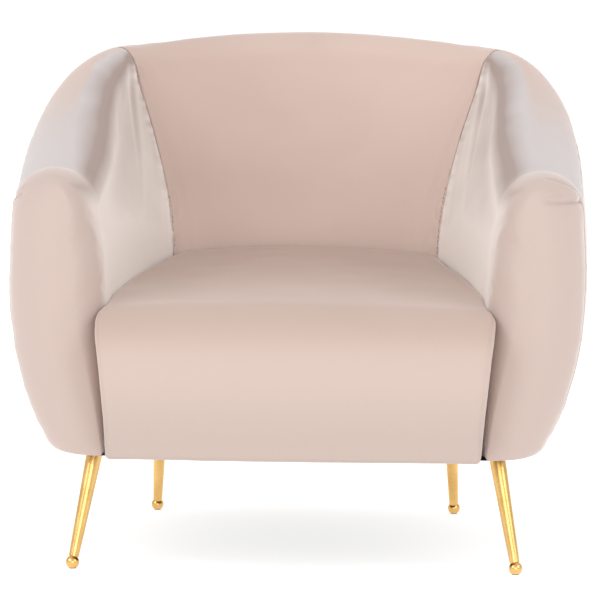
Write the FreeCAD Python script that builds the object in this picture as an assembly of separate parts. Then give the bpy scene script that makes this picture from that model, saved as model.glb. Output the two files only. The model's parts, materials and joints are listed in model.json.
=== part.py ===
import FreeCAD, Part
import math
import os

from FreeCAD import Vector

# Upholstered tub armchair: a horseshoe shell of padded panels round a ribbed wooden frame,
# a sprung seat with a waterfall front, and four splayed tapered legs on ball feet.
# Millimetres, +Z up. The origin is on the floor under the middle of the chair's box, the seat faces -Y.

# ---- overall sizes
WIDTH = 880.0  # across the arms at their widest
BACK_Y = 387.0  # the outside of the back, from the origin
FRONT_Y = -387.0  # the front of the seat
HEIGHT = 800.0  # floor to the top of the back
HEM_Z = 166.0  # floor to the bottom edge of the upholstery
SEAT_TOP = 450.0  # the seat where it meets the back
SEAT_FALL = 62.0  # how much lower the seat is at its front
ARM_TOP = 594.0  # top of the arm where it starts to turn down at the front
ARM_FRONT_Y = -346.0  # the foremost point of each arm

# ---- shell form
BELLY_Z = 425.0  # height at which the outside is widest
TUCK = 130.0  # how far the outside pulls in, as the half axis of its curve
TUCK_BELOW = 288.0  # half axis of the outside curve below the belly
TUCK_ABOVE = 388.0  # and above it
SEAT_REACH = 172.0  # the inside of the back at seat height, from the origin
INNER_HALF = 286.0  # half the gap between the arms at the front
INNER_TUCK = 14.0  # how far the insides of the arms come in from seat height to the hem
INNER_REAR_HALF = 222.0  # half the gap where the arms meet the back
INNER_CURVE = 1.6  # 1 leans the inside out in a straight line, more rolls it over the crest
NOSE_LENGTH = 118.0  # length over which the arm's front rounds off
NOSE_POWER = 2.5  # 2 is an ellipse, more is squarer
NOSE_END = 0.94  # share of the nose at which its flat tip is cut
NOSE_SLOPE = 0.03  # fall of the arm's top along the nose
NOSE_DROP = 40.0  # how far it turns down over the nose besides
NOSE_SHARE = 0.30  # where the front's foremost line is, from the arm's inside to its outside
CREST_ROUND = 0.60  # height of the rounded crest as a share of its thickness
HEM_ROUND = 22.0

# ---- layers
COVER = 4.0  # velvet on its fibre wrap
INNER_PAD = 38.0  # foam behind the inside covers
CREST_PAD = 28.0
OUTER_PAD = 10.0
PLAY = 0.5  # gap between a layer and what it lies against

# ---- seams, as places along the half shell: 0 is the middle of the back, 1 the start of the nose
BACK_SEAM = 0.43
FRONT_SEAM_Y = -272.0  # the seam at the outer front corner of the arm
SHOULDER_DROP = 46.0  # the outside panels end this far below the crest

# ---- wooden frame
PLY = 15.0
RIB = 18.0
RAIL = 22.0
BASE_Z = 174.0
RAIL_TOP = 276.0
TOP_RAIL_BACK = 46.0
TOP_RAIL_ARM = 24.0
TACK_Z = 318.0
TACK_H = 40.0
BASE_REACH = 62.0  # how far the base plates reach in under the seat frame
SEAT_FRAME_GAP = 20.0  # between the arm's inside and the seat frame, at the front
RAIL_CLEAR = 4.0  # between the seat frame's rear corners and the covers
NOSE_BASE = 0.62  # share of the nose that the base plates reach into
FRAME_GAP = 1.5  # between the frame and the padding round it
BLOCK = 74.0
BLOCK_H = 40.0

# ---- seat
SEAT_GAP = 1.5
REAR_CORNER = 5.0  # how much earlier than the back's own curve the seat rounds off at its rear corners
SEAT_SIDE_ROUND = 20.0
SEAT_CROWN = 9.0
SEAT_FRONT_HALF = 297.0
SEAT_FRONT_TAPER = 13.0  # the front face narrows by this much more towards the hem, each side
APRON = 44.0  # padding in front of the front rail
FELT = 5.0

# ---- springs and webbing
WIRE = 3.4
SPRING_COUNT = 5
SPRING_PITCH = 90.0
SPRING_WIDTH = 46.0
SPRING_STEP = 21.0
STRAP = 50.0
STRAP_THICK = 2.0

# ---- legs
LEG_TOP_R = 12.2
LEG_FOOT_R = 7.4
LEG_WALL = 1.6
BALL_R = 10.0
GLIDE_R = 5.5
GLIDE_H = 2.4
PLATE = 62.0
PLATE_T = 3.0
SCREW_R = 2.4
SCREW_HEAD_R = 4.6
SCREW_HEAD_H = 2.4
SCREW_LENGTH = 34.0
SCREW_INSET = 9.0
FRONT_LEG_TOP = (298.0, -262.0)
FRONT_LEG_FOOT = (326.5, -306.0)
REAR_LEG_TOP = (238.0, 192.0)
REAR_LEG_FOOT = (247.0, 242.0)

parts = {}


# ---------------------------------------------------------------- shell form
def spline(values, u):
    """A clamped cubic B-spline through its end values, shaped by the others, for u from 0 to 1."""
    n = len(values)
    spans = n - 3
    knots = [0.0] * 4 + [i / spans for i in range(1, spans)] + [1.0] * 4
    k = min(int(u * spans), spans - 1) + 3
    d = [list(values[k - 3 + j]) for j in range(4)]
    for r in range(1, 4):
        for j in range(3, r - 1, -1):
            low, high = knots[k - 3 + j], knots[k + 1 + j - r]
            a = (u - low) / (high - low)
            d[j] = [(1 - a) * p + a * q for p, q in zip(d[j - 1], d[j])]
    return d[3]


HALF = WIDTH / 2
NOSE_Y = ARM_FRONT_Y + NOSE_LENGTH  # where the arm's front starts to round off
LEAN = SEAT_REACH  # the inside of the back at seat height

# Outside at the belly, from the middle of the back to the start of the nose.
OUTSIDE = [
    (0, BACK_Y),
    (0.31 * HALF, BACK_Y),
    (0.68 * HALF, BACK_Y - 20),
    (0.945 * HALF, BACK_Y - 132),
    (HALF + 8, BACK_Y - 320),
    (HALF + 1, NOSE_Y + 150),
    (HALF - 12, NOSE_Y),
]
# Inside at seat height, facing the points above.
INSIDE = [
    (0, LEAN),
    (0.46 * INNER_REAR_HALF, LEAN + 1),
    (0.85 * INNER_REAR_HALF, LEAN - 5),
    (INNER_REAR_HALF, LEAN - 56),
    (0.65 * INNER_REAR_HALF + 0.35 * INNER_HALF, LEAN - 155),
    (0.3 * INNER_REAR_HALF + 0.7 * INNER_HALF, NOSE_Y + 120),
    (INNER_HALF, NOSE_Y),
]
FALL = HEIGHT - ARM_TOP
# Height of the crest and how far the inside leans out by then, at the same places.
CREST = [
    (HEIGHT, 78),
    (HEIGHT, 78),
    (HEIGHT - 0.085 * FALL, 112),
    (HEIGHT - 0.15 * FALL, 126),
    (HEIGHT - 0.43 * FALL, 92),
    (HEIGHT - 0.75 * FALL, 58),
    (ARM_TOP, 38),
]


def place_at(y, depth=0.0):
    """The place along the half shell where a line this deep behind its inside is at y."""
    low, high = 0.0, 1.0
    for _ in range(40):
        mid = (low + high) / 2
        if Station(mid).at(depth, 0).y > y:
            low = mid
        else:
            high = mid
    return high


def outside_tuck(z):
    """How far the outside has pulled in at height z."""
    reach = TUCK_BELOW if z < BELLY_Z else TUCK_ABOVE
    share = min(abs(z - BELLY_Z) / reach, 0.999)
    return TUCK * (1 - math.sqrt(1 - share * share))


def inside_tuck(z):
    """How far the insides of the arms have come in at height z."""
    return INNER_TUCK * max(0.0, (SEAT_TOP - z) / (SEAT_TOP - HEM_Z))


class Station:
    """A vertical section across the shell: u up to 1 runs round the horseshoe, past 1 it is the nose."""

    def __init__(self, u):
        self.nose = max(0.0, u - 1.0)
        u = min(u, 1.0)
        ox, oy = spline(OUTSIDE, u)
        ix, iy = spline(INSIDE, u)
        self.crest, self.lean = spline(CREST, u)
        self.round = 1.0
        if self.nose > 0:
            self.round = (1 - self.nose**NOSE_POWER) ** (1 / NOSE_POWER)
            ahead = NOSE_LENGTH * self.nose
            self.crest -= NOSE_SLOPE * ahead + NOSE_DROP * (1 - self.round)
            oy -= ahead
            iy -= ahead
        self.base = Vector(ix, iy, 0)
        self.across = Vector(ox - ix, oy - iy, 0)
        self.thick = self.across.Length
        self.across.normalize()
        self.full_crest = spline(CREST, u)[0]

    def sides(self, z):
        """Distances of the inside and the outside from the base point at height z."""
        share = max(0.0, (z - SEAT_TOP) / (self.full_crest - SEAT_TOP))
        inner = self.lean * share**INNER_CURVE - inside_tuck(z) * abs(self.across.x)
        outer = self.thick - outside_tuck(z)
        tip = inner + NOSE_SHARE * (outer - inner)
        return tip + (inner - tip) * self.round, tip + (outer - tip) * self.round

    def at(self, r, z):
        p = self.base + self.across * r
        return Vector(p.x, p.y, z)


def profile(station, inner, outer, top, low):
    """Points from the inner hem over the crest to the outer hem, with each side set in by its layer."""
    crest = station.crest - top
    a, b = station.sides(crest - 45)
    thick = (b - outer) - (a + inner)
    rise = max(18.0, CREST_ROUND * thick)
    z_cap = crest - rise
    a, b = station.sides(z_cap)
    a, b = a + inner, b - outer
    bend = HEM_ROUND * station.round
    heights = [low + (z_cap - low) * i / 7 for i in range(1, 8)]
    points = []
    if bend > inner + outer:
        start = station.sides(low + bend)
        points += [(start[0] + inner + bend * 0.9, low), (start[0] + inner + bend * 0.2, low + bend * 0.3)]
    else:
        points.append((station.sides(low)[0] + inner, low))
    points += [(station.sides(z)[0] + inner, z) for z in heights]
    middle, half = (a + b) / 2, (b - a) / 2
    for i in range(1, 8):
        angle = math.pi * (1 - i / 8)
        points.append((middle + half * math.cos(angle), z_cap + rise * math.sin(angle)))
    points += [(station.sides(z)[1] - outer, z) for z in reversed(heights)]
    if bend > inner + outer:
        start = station.sides(low + bend)
        points += [(start[1] - outer - bend * 0.2, low + bend * 0.3), (start[1] - outer - bend * 0.9, low)]
    else:
        points.append((station.sides(low)[1] - outer, low))
    return points


def wire_of(station, points):
    """A closed wire: one smooth curve over the crest and a straight hem."""
    curve = Part.BSplineCurve()
    curve.interpolate([station.at(r, z) for r, z in points])
    hem = Part.makeLine(station.at(*points[-1]), station.at(*points[0]))
    return Part.Wire([curve.toShape(), hem])


def mirrored_stations(stations):
    """The same stations on both sides, from the left (-X) through the middle of the back to the right."""
    left = []
    for s in reversed(stations[1:]):
        m = Station(0.5)
        m.__dict__.update(s.__dict__)
        m.base = Vector(-s.base.x, s.base.y, 0)
        m.across = Vector(-s.across.x, s.across.y, 0)
        left.append(m)
    return left + stations


def loft(stations, section):
    """A solid through the section that the function gives at each station."""
    return Part.makeLoft([section(s) for s in stations], True, False)


def shell_solid(stations, inner=0.0, outer=0.0, top=0.0, low=HEM_Z):
    return loft(stations, lambda s: wire_of(s, profile(s, inner, outer, top, low)))


def box_section(r0, r1, z0, z1):
    """A four-cornered section; each value is a number or a function of the station."""

    def value(v, s):
        return v(s) if callable(v) else v

    def section(s):
        a, b, c, d = (value(v, s) for v in (r0, r1, z0, z1))
        corners = [s.at(a, c), s.at(b, c), s.at(b, d), s.at(a, d)]
        return Part.makePolygon(corners + corners[:1])

    return section


def steps(start, stop, count):
    return [Station(start + (stop - start) * i / count) for i in range(count + 1)]


def nose_steps(depth):
    """Stations from the back seam to the tip of the arm, set back from the tip by a depth."""
    end = NOSE_END - depth / NOSE_LENGTH
    shares = [0.2, 0.4, 0.58, 0.72, 0.84, 1.0]
    return [Station(1 + end * s) for s in shares]


# ---------------------------------------------------------------- helpers
def only_solids(shape):
    solids = [s for s in shape.Solids if s.Volume > 1.0]
    return solids[0] if len(solids) == 1 else Part.makeCompound(solids)


def add(name, shape):
    parts[name] = only_solids(shape)


def mirror(shape):
    return shape.mirror(Vector(0, 0, 0), Vector(1, 0, 0))


def add_pair(name, shape):
    """The shape as made is the right-hand one (+X), and its mirror image is the left-hand one."""
    add(name + "_right", shape)
    add(name + "_left", mirror(shape))


def block(x0, x1, y0, y1, z0, z1):
    return Part.makeBox(x1 - x0, y1 - y0, z1 - z0, Vector(x0, y0, z0))


def slab_at(station, half, z0=0.0, z1=HEIGHT):
    """A tall upright slab across the shell at a station."""
    reach = 2.2 * station.thick
    middle = station.thick / 2
    along = Vector(-station.across.y, station.across.x, 0)
    corners = []
    for r, t in ((-1, -1), (1, -1), (1, 1), (-1, 1)):
        p = station.base + station.across * (middle + r * reach / 2) + along * (t * half)
        corners.append(Vector(p.x, p.y, z0))
    face = Part.Face(Part.makePolygon(corners + corners[:1]))
    return face.extrude(Vector(0, 0, z1 - z0))


# ---------------------------------------------------------------- upholstered shell
back_stations = mirrored_stations(steps(0, BACK_SEAM, 4))
back_wide = mirrored_stations(steps(0, BACK_SEAM + 0.03, 4))
arm_body = steps(BACK_SEAM, 1, 6)
arm_wide = steps(BACK_SEAM - 0.03, 1, 6)
IN, OUT, TOP = COVER + INNER_PAD, COVER + OUTER_PAD, COVER + CREST_PAD
INNER_LOW = BASE_Z + PLY + PLAY  # the inside layers stand on the base plates
UNDER = HEM_Z - 12


def hem_outer(s):
    return s.sides(BASE_Z)[1] - OUT - PLAY


def outside_zone(stations):
    """Everything that belongs to the outside panels."""
    return loft(
        stations,
        box_section(
            lambda s: sum(s.sides(s.crest - SHOULDER_DROP)) / 2,
            lambda s: s.thick + 90,
            UNDER - 20,
            lambda s: s.crest - SHOULDER_DROP,
        ),
    )


def under_zone(stations):
    """The room of the base plates and the corner blocks under the inside layers."""
    room = loft(stations, box_section(-BASE_REACH - 60, hem_outer, UNDER - 20, INNER_LOW))
    return room.fuse(all_blocks())


def layers(whole, inset, cavity, outside, under):
    """Splits a stretch of the shell into inside cover, outside cover, inside pad and outside pad."""
    cover = whole.cut(inset).cut(under)
    pad = inset.common(whole).cut(cavity).cut(under)
    return cover.cut(outside), cover.common(outside), pad.cut(outside), pad.common(outside)


def make_back():
    whole = shell_solid(back_stations)
    inset = shell_solid(back_wide, COVER, COVER, COVER, UNDER)
    cavity = shell_solid(back_wide, IN, OUT, TOP, UNDER)
    made = layers(whole, inset, cavity, outside_zone(back_wide), under_zone(back_wide))
    for name, shape in zip(
        ("inside_back_cover", "outside_back_cover", "back_foam", "outside_back_wadding"), made
    ):
        add(name, shape)


def make_arms():
    whole = shell_solid(arm_body + nose_steps(0))
    inset = shell_solid(arm_wide + nose_steps(COVER), COVER, COVER, COVER, UNDER)
    cavity = shell_solid(arm_wide + nose_steps(IN), IN, OUT, TOP, UNDER)
    seam = (NOSE_Y - FRONT_SEAM_Y) / NOSE_LENGTH
    outside = outside_zone(arm_wide + [Station(1 + seam * s) for s in (0.5, 1.0)])
    reach = NOSE_BASE + 2 * PLAY / NOSE_LENGTH
    under = under_zone(arm_wide + [Station(1 + reach * s) for s in (0.4, 0.8, 1.0)])
    made = layers(whole, inset, cavity, outside, under)
    for name, shape in zip(
        ("inside_arm_cover", "outside_arm_cover", "arm_foam", "outside_arm_wadding"), made
    ):
        add_pair(name, shape)


# ---------------------------------------------------------------- wooden frame
GAP = FRAME_GAP


def corner_block_boxes():
    """The blocks over the legs, which the ribs and the pads make room for."""
    boxes = {}
    for place, leg in (("front", front_leg()), ("rear", rear_leg())):
        x, y = leg.top
        h = BLOCK / 2
        z = BASE_Z + PLY
        boxes[place] = block(x - h, x + h, y - h, y + h, z, z + BLOCK_H)
    return boxes


def all_blocks():
    right = list(corner_block_boxes().values())
    return Part.makeCompound(right + [mirror(b) for b in right])


def rib_places():
    """Where the ribs stand, as places along the half shell; the post stands against the front block."""
    post = place_at(FRONT_LEG_TOP[1] + BLOCK / 2 + RIB / 2 + PLAY, IN + GAP)
    return {
        "rib_back_side": 0.55 * BACK_SEAM,
        "rib_corner": BACK_SEAM + 0.1,
        "rib_arm": (BACK_SEAM + 0.1 + post) / 2,
        "arm_post": post,
    }


def top_rail_height(s):
    """The rail is deep across the back and thin along the arms."""
    share = (HEIGHT - s.full_crest) / FALL
    return TOP_RAIL_BACK + (TOP_RAIL_ARM - TOP_RAIL_BACK) * min(1.0, 2 * share)


def make_shell_frame():
    all_right = steps(0, 1, 9) + [Station(1 + 0.45 * s) for s in (0.5, 1.0)]
    everywhere = mirrored_stations(all_right)
    room = shell_solid(everywhere, IN + GAP, OUT + GAP, TOP + GAP, BASE_Z)
    joint = Station(BACK_SEAM)
    cut_right = loft(
        steps(BACK_SEAM, 1, 6) + [Station(1.9)], box_section(-200, lambda s: s.thick + 90, 0, HEIGHT + 50)
    )
    cut_left = mirror(cut_right)

    def three(name, ring, trim=None):
        add(name + "_back", ring.cut(cut_right).cut(cut_left))
        right = ring.common(cut_right)
        add_pair(name, right if trim is None else right.cut(trim))
        return ring

    top_band = loft(
        everywhere,
        box_section(
            -60, lambda s: s.thick + 60, lambda s: s.crest - TOP - GAP - top_rail_height(s), lambda s: s.crest + 40
        ),
    )
    top_ring = three("top_rail", room.common(top_band))
    tack_ring = three(
        "tack_rail", loft(everywhere, box_section(IN + GAP, IN + GAP + RAIL, TACK_Z, TACK_Z + TACK_H))
    )
    base_right = steps(0, 1, 9) + [Station(1 + NOSE_BASE * s) for s in (0.4, 0.8, 1.0)]
    base_ring = loft(
        mirrored_stations(base_right),
        box_section(-BASE_REACH, lambda s: hem_outer(s) - GAP, BASE_Z, BASE_Z + PLY),
    )
    screws = Part.makeCompound([tool for leg in legs() for tool in leg.screw_shanks])
    base_ring = three("base_plate", base_ring.cut(screws))

    taken = top_ring.fuse(tack_ring)
    upright = block(-WIDTH, WIDTH, -WIDTH, WIDTH, BASE_Z + PLY, HEIGHT)
    ribs_room = room.common(upright).cut(taken)
    add("rib_back_centre", ribs_room.common(slab_at(Station(0), RIB / 2)))
    ribs_room = ribs_room.cut(all_blocks())
    for name, u in rib_places().items():
        add_pair(name, ribs_room.common(slab_at(Station(u), RIB / 2)))


def seat_frame_half(y):
    """The outer face of the seat frame's side rails, a straight line in plan."""
    front = INNER_HALF - SEAT_FRAME_GAP
    rear = inner_half_at(rear_rail_y() + RAIL) - INNER_TUCK - RAIL_CLEAR
    share = (y - front_rail_y()) / (rear_rail_y() - front_rail_y())
    return front + (rear - front) * share


def front_rail_y():
    return FRONT_Y + APRON


def rear_rail_y():
    return SEAT_REACH - 66


def make_seat_frame():
    z0, z1 = BASE_Z + PLY, RAIL_TOP
    y0, y1 = front_rail_y(), rear_rail_y()
    half = seat_frame_half(y0)
    add("front_rail", block(-half, half, y0, y0 + RAIL, z0, z1))
    rear = seat_frame_half(y1)
    add("rear_rail", block(-rear, rear, y1, y1 + RAIL, z0, z1))
    a, b = seat_frame_half(y0 + RAIL), seat_frame_half(y1)
    corners = [Vector(x, y, z0) for x, y in ((a - RAIL, y0 + RAIL), (a, y0 + RAIL), (b, y1), (b - RAIL, y1))]
    side = Part.Face(Part.makePolygon(corners + corners[:1])).extrude(Vector(0, 0, z1 - z0))
    add_pair("side_rail", side)
    screws = Part.makeCompound([tool for leg in legs() for tool in leg.screw_shanks])
    rails = Part.makeCompound([parts[n] for n in ("side_rail_right", "front_rail", "rear_rail")])
    for place, raw in corner_block_boxes().items():
        add_pair("corner_block_" + place, raw.cut(rails).cut(screws))


# ---------------------------------------------------------------- suspension
def spring_path(x, y0, y1, z):
    """A flat zigzag between the rails: straight bars joined by round bends."""
    pitch = SPRING_STEP
    count = int((y1 - y0) / pitch)
    count -= 1 - count % 2
    r = pitch / 2
    y0 += ((y1 - y0) - count * pitch) / 2
    half = SPRING_WIDTH / 2 - r
    edges, side = [], 1
    edges.append(Part.makeLine(Vector(x, y0, z), Vector(x + half, y0, z)))
    for i in range(count):
        y = y0 + i * pitch
        cx = x + side * half
        arc = Part.Arc(Vector(cx, y, z), Vector(cx + side * r, y + r, z), Vector(cx, y + pitch, z))
        edges.append(arc.toShape())
        side = -side
        end = x + side * half if i < count - 1 else x
        edges.append(Part.makeLine(Vector(cx, y + pitch, z), Vector(end, y + pitch, z)))
    return Part.Wire(edges)


def make_springs():
    z = RAIL_TOP + WIRE / 2 + 1.6
    y0, y1 = front_rail_y() + 12, rear_rail_y() + RAIL - 12
    springs, clips = [], []
    for i in range(SPRING_COUNT):
        x = (i - (SPRING_COUNT - 1) / 2) * SPRING_PITCH
        path = spring_path(x, y0, y1, z)
        start = path.Vertexes[0].Point
        ring = Part.Wire(Part.makeCircle(WIRE / 2, start, Vector(1, 0, 0)))
        springs.append(path.makePipeShell([ring], True, False))
        for y in (min(v.Y for v in path.Vertexes), max(v.Y for v in path.Vertexes)):
            plate = block(x - 11, x + 11, y - 9, y + 9, RAIL_TOP, z + WIRE / 2 + 1.2)
            groove = Part.makeCylinder(WIRE / 2 + 0.3, 40, Vector(x - 20, y, z), Vector(1, 0, 0))
            slot = block(x - 20, x + 20, y - 5.5, y + 5.5, RAIL_TOP + 1.2, z)
            clips.append(plate.cut(groove).cut(slot))
    add("zigzag_springs", Part.makeCompound(springs))
    add("spring_clips", Part.makeCompound(clips))


def make_back_webbing():
    """Upright straps between the tack rail and the top rail of the back."""
    straps = []
    for u in (0.07, 0.17, 0.31):
        s = Station(u)
        z0, z1 = TACK_Z + TACK_H, s.crest - TOP - GAP - top_rail_height(s)
        r0 = s.sides(z0)[0] + IN + 3
        r1 = max(s.sides(z)[0] + IN + 3 for z in (z0, z1))
        corners = [s.at(r0, z0), s.at(r1, z1), s.at(r1 + STRAP_THICK, z1), s.at(r0 + STRAP_THICK, z0)]
        along = Vector(-s.across.y, s.across.x, 0) * STRAP
        face = Part.Face(Part.makePolygon(corners + corners[:1]))
        strap = face.translated(along * -0.5).extrude(along)
        straps += [strap, mirror(strap)]
    ribs = Part.makeCompound([parts[n] for n in ("rib_back_centre", "rib_back_side_right", "rib_back_side_left",
                                                 "rib_corner_right", "rib_corner_left", "tack_rail_back",
                                                 "top_rail_back", "back_foam")])
    add("back_webbing", Part.makeCompound([s.cut(ribs) for s in straps]))


# ---------------------------------------------------------------- seat
def inner_half_at(y):
    """Half the gap between the arms at seat height."""
    if y <= NOSE_Y:
        return INNER_HALF
    return spline(INSIDE, place_at(y))[0]


def seat_top_at(y):
    """Height of the seat's middle, falling gently to the front."""
    share = (y - FRONT_Y) / (SEAT_REACH - FRONT_Y)
    return SEAT_TOP - SEAT_FALL * (1 - share) ** 1.3


def seat_solid(inset, low):
    """The seat with its waterfall front, through upright sections from front to back."""
    front = FRONT_Y + inset
    rear = SEAT_REACH - SEAT_GAP - inset
    places = [(front, 34), (front + 5, 19), (front + 18, 7), (front + 42, 0), (NOSE_Y - 70, 0)]
    places += [(NOSE_Y + (rear - 62 - NOSE_Y) * i / 4, 0) for i in range(5)]
    places += [(rear - 30, 0), (rear - 10, 0), (rear, 0)]
    wires = []
    for y, shrink in places:
        blend = max(0.0, min(1.0, (NOSE_Y - 48 - y) / 64))
        half = inner_half_at(min(y + REAR_CORNER, SEAT_REACH - SEAT_GAP)) - SEAT_GAP
        half += (SEAT_FRONT_HALF - half) * blend - inset - shrink * 0.6
        top = seat_top_at(y) - inset - shrink * 1.6
        crown = SEAT_CROWN * (1 - 0.4 * blend)
        r = SEAT_SIDE_ROUND - inset / 2
        bottom = low + shrink * 0.3
        side_z = top - crown - r

        def side(z):
            return half - inside_tuck(z) - SEAT_FRONT_TAPER * blend * (side_z - z) / (side_z - HEM_Z)

        heights = [bottom + (side_z - bottom) * share for share in (0, 0.3, 0.6, 0.85, 1)]
        right = [(side(z), z) for z in heights]
        right += [
            (side(side_z) - r * 0.29, side_z + r * 0.71),
            (side(side_z) - r, side_z + r + crown * 0.12),
            (half * 0.45, top - crown * 0.22),
        ]
        points = [Vector(x, y, z) for x, z in right] + [Vector(0, y, top)]
        points += [Vector(-x, y, z) for x, z in reversed(right)]
        curve = Part.BSplineCurve()
        curve.interpolate(points)
        wires.append(Part.Wire([curve.toShape(), Part.makeLine(points[-1], points[0])]))
    return Part.makeLoft(wires, True, False)


def make_seat():
    felt_z = RAIL_TOP + WIRE + 1.6 + 2.0
    foam_z = felt_z + FELT
    outer = seat_solid(0, HEM_Z)
    inner = seat_solid(COVER, UNDER)
    back_end = SEAT_REACH + 50
    under = block(-WIDTH, WIDTH, front_rail_y() - PLAY, back_end, UNDER - 50, foam_z)
    hollow_sides = block(-WIDTH, WIDTH, front_rail_y() - PLAY, back_end, UNDER - 50, foam_z - FELT - 2)
    add("seat_cover", outer.cut(inner).cut(hollow_sides))
    foam = inner.cut(under)
    foam = foam.cut(block(-WIDTH, WIDTH, FRONT_Y - 50, back_end, UNDER - 50, HEM_Z + 2))
    add("seat_foam", foam)
    y0, y1 = front_rail_y() + 2, rear_rail_y() + RAIL
    a, b = seat_frame_half(y0) - FRAME_GAP, seat_frame_half(y1) - FRAME_GAP
    corners = [Vector(x, y, felt_z) for x, y in ((-a, y0), (a, y0), (b, y1), (-b, y1))]
    add("seat_felt", Part.Face(Part.makePolygon(corners + corners[:1])).extrude(Vector(0, 0, FELT)))


# ---------------------------------------------------------------- legs
class Leg:
    """A tapered tube on a plate, from a point under the base to a ball foot."""

    def __init__(self, top, foot):
        self.top, self.foot = top, foot
        self.plate_z = BASE_Z - 1.0 - PLATE_T
        self.head = Vector(top[0], top[1], self.plate_z)
        self.ball = Vector(foot[0], foot[1], BALL_R * 0.9)
        self.axis = (self.head - self.ball).normalize()
        offset = PLATE / 2 - SCREW_INSET
        self.screw_xy = [(top[0] + i * offset, top[1] + j * offset) for i in (-1, 1) for j in (-1, 1)]
        self.screw_shanks = [
            Part.makeCylinder(SCREW_R, SCREW_LENGTH, Vector(x, y, self.plate_z)) for x, y in self.screw_xy
        ]

    def tube(self):
        start = self.ball + self.axis * (BALL_R * 0.86)
        length = (self.head - start).Length + 14
        grow = (LEG_TOP_R - LEG_FOOT_R) / (length - 14)
        top_r = LEG_FOOT_R + grow * length
        outer = Part.makeCone(LEG_FOOT_R, top_r, length, start, self.axis)
        inner = Part.makeCone(LEG_FOOT_R - LEG_WALL, top_r - LEG_WALL, length, start, self.axis)
        below = block(-WIDTH, WIDTH, -WIDTH, WIDTH, -20, self.plate_z)
        return outer.cut(inner).common(below)

    def ball_foot(self):
        """A turned ball with a spigot up into the tube and a flat sole, bored for the glide."""
        sphere = Part.makeSphere(BALL_R, self.ball)
        spigot_r = LEG_FOOT_R - LEG_WALL - 0.1
        start = self.ball + self.axis * (BALL_R * 0.86)
        spigot = Part.makeCylinder(spigot_r, BALL_R * 0.86 + 12, self.ball, self.axis)
        above = Part.makeCylinder(BALL_R * 2, BALL_R * 2, start, self.axis)
        ball = sphere.cut(above).fuse(spigot)
        ball = ball.cut(block(-WIDTH, WIDTH, -WIDTH, WIDTH, -20, 1.0))
        return ball.cut(Part.makeCylinder(GLIDE_R, GLIDE_H, Vector(self.ball.x, self.ball.y, 0)))

    def glide(self):
        return Part.makeCylinder(GLIDE_R, GLIDE_H, Vector(self.ball.x, self.ball.y, 0))

    def plate(self):
        x, y = self.top
        h = PLATE / 2
        raw = block(x - h, x + h, y - h, y + h, self.plate_z, self.plate_z + PLATE_T)
        raw = raw.makeFillet(8, [e for e in raw.Edges if abs(e.Vertexes[0].Z - e.Vertexes[1].Z) > 1])
        return raw.cut(Part.makeCompound(self.screw_shanks))

    def screws(self):
        made = []
        for (x, y), shank in zip(self.screw_xy, self.screw_shanks):
            head = Part.makeCylinder(SCREW_HEAD_R, SCREW_HEAD_H, Vector(x, y, self.plate_z - SCREW_HEAD_H))
            made.append(shank.fuse(head))
        return made


def front_leg():
    return Leg(FRONT_LEG_TOP, FRONT_LEG_FOOT)


def rear_leg():
    return Leg(REAR_LEG_TOP, REAR_LEG_FOOT)


def legs():
    """All four, the left-hand ones by mirrored places."""
    made = []
    for leg in (front_leg(), rear_leg()):
        made.append(leg)
        made.append(Leg((-leg.top[0], leg.top[1]), (-leg.foot[0], leg.foot[1])))
    return made


def make_legs():
    for place, leg in (("front", front_leg()), ("rear", rear_leg())):
        add_pair("leg_" + place, leg.tube())
        add_pair("ball_foot_" + place, leg.ball_foot())
    add("foot_glides", Part.makeCompound([leg.glide() for leg in legs()]))
    add("leg_plates", Part.makeCompound([leg.plate() for leg in legs()]))
    add("leg_screws", Part.makeCompound([screw for leg in legs() for screw in leg.screws()]))


def make_dust_cover():
    """The thin cloth under the frame, cut round the outside layers."""
    places = mirrored_stations(steps(0, 1, 9) + [Station(1.3)])
    edge = [s.at(hem_outer(s) - 2, BASE_Z - 1.0) for s in places]
    curve = Part.BSplineCurve()
    curve.interpolate(edge)
    front = front_rail_y() + 1
    right, left = edge[-1], edge[0]
    corners = [right, Vector(right.x - 60, front, right.z), Vector(left.x + 60, front, left.z), left]
    wire = Part.Wire([curve.toShape()] + [Part.makeLine(a, b) for a, b in zip(corners, corners[1:])])
    sheet = Part.Face(wire).extrude(Vector(0, 0, 1.0 - 0.1))
    holes = [tool for leg in legs() for tool in leg.screw_shanks]
    pads = [parts[n + side] for n in ("arm_foam", "inside_arm_cover") for side in ("_left", "_right")]
    add("dust_cover", sheet.cut(Part.makeCompound(holes)).cut(Part.makeCompound(pads)))


make_back()
make_arms()
make_shell_frame()
make_seat_frame()
make_springs()
make_back_webbing()
make_seat()
make_legs()
make_dust_cover()

os.makedirs("parts", exist_ok=True)
for name, shape in parts.items():
    shape.exportStep("parts/" + name + ".step")
    flag = "" if shape.isValid() else "  INVALID"
    print(f"{name}: {len(shape.Solids)} solid(s), {shape.Volume / 1000:.1f} cm3{flag}")
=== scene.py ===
import json
import math

import bmesh
import bpy
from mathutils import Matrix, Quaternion, Vector, geometry, noise
from mathutils.kdtree import KDTree


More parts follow.
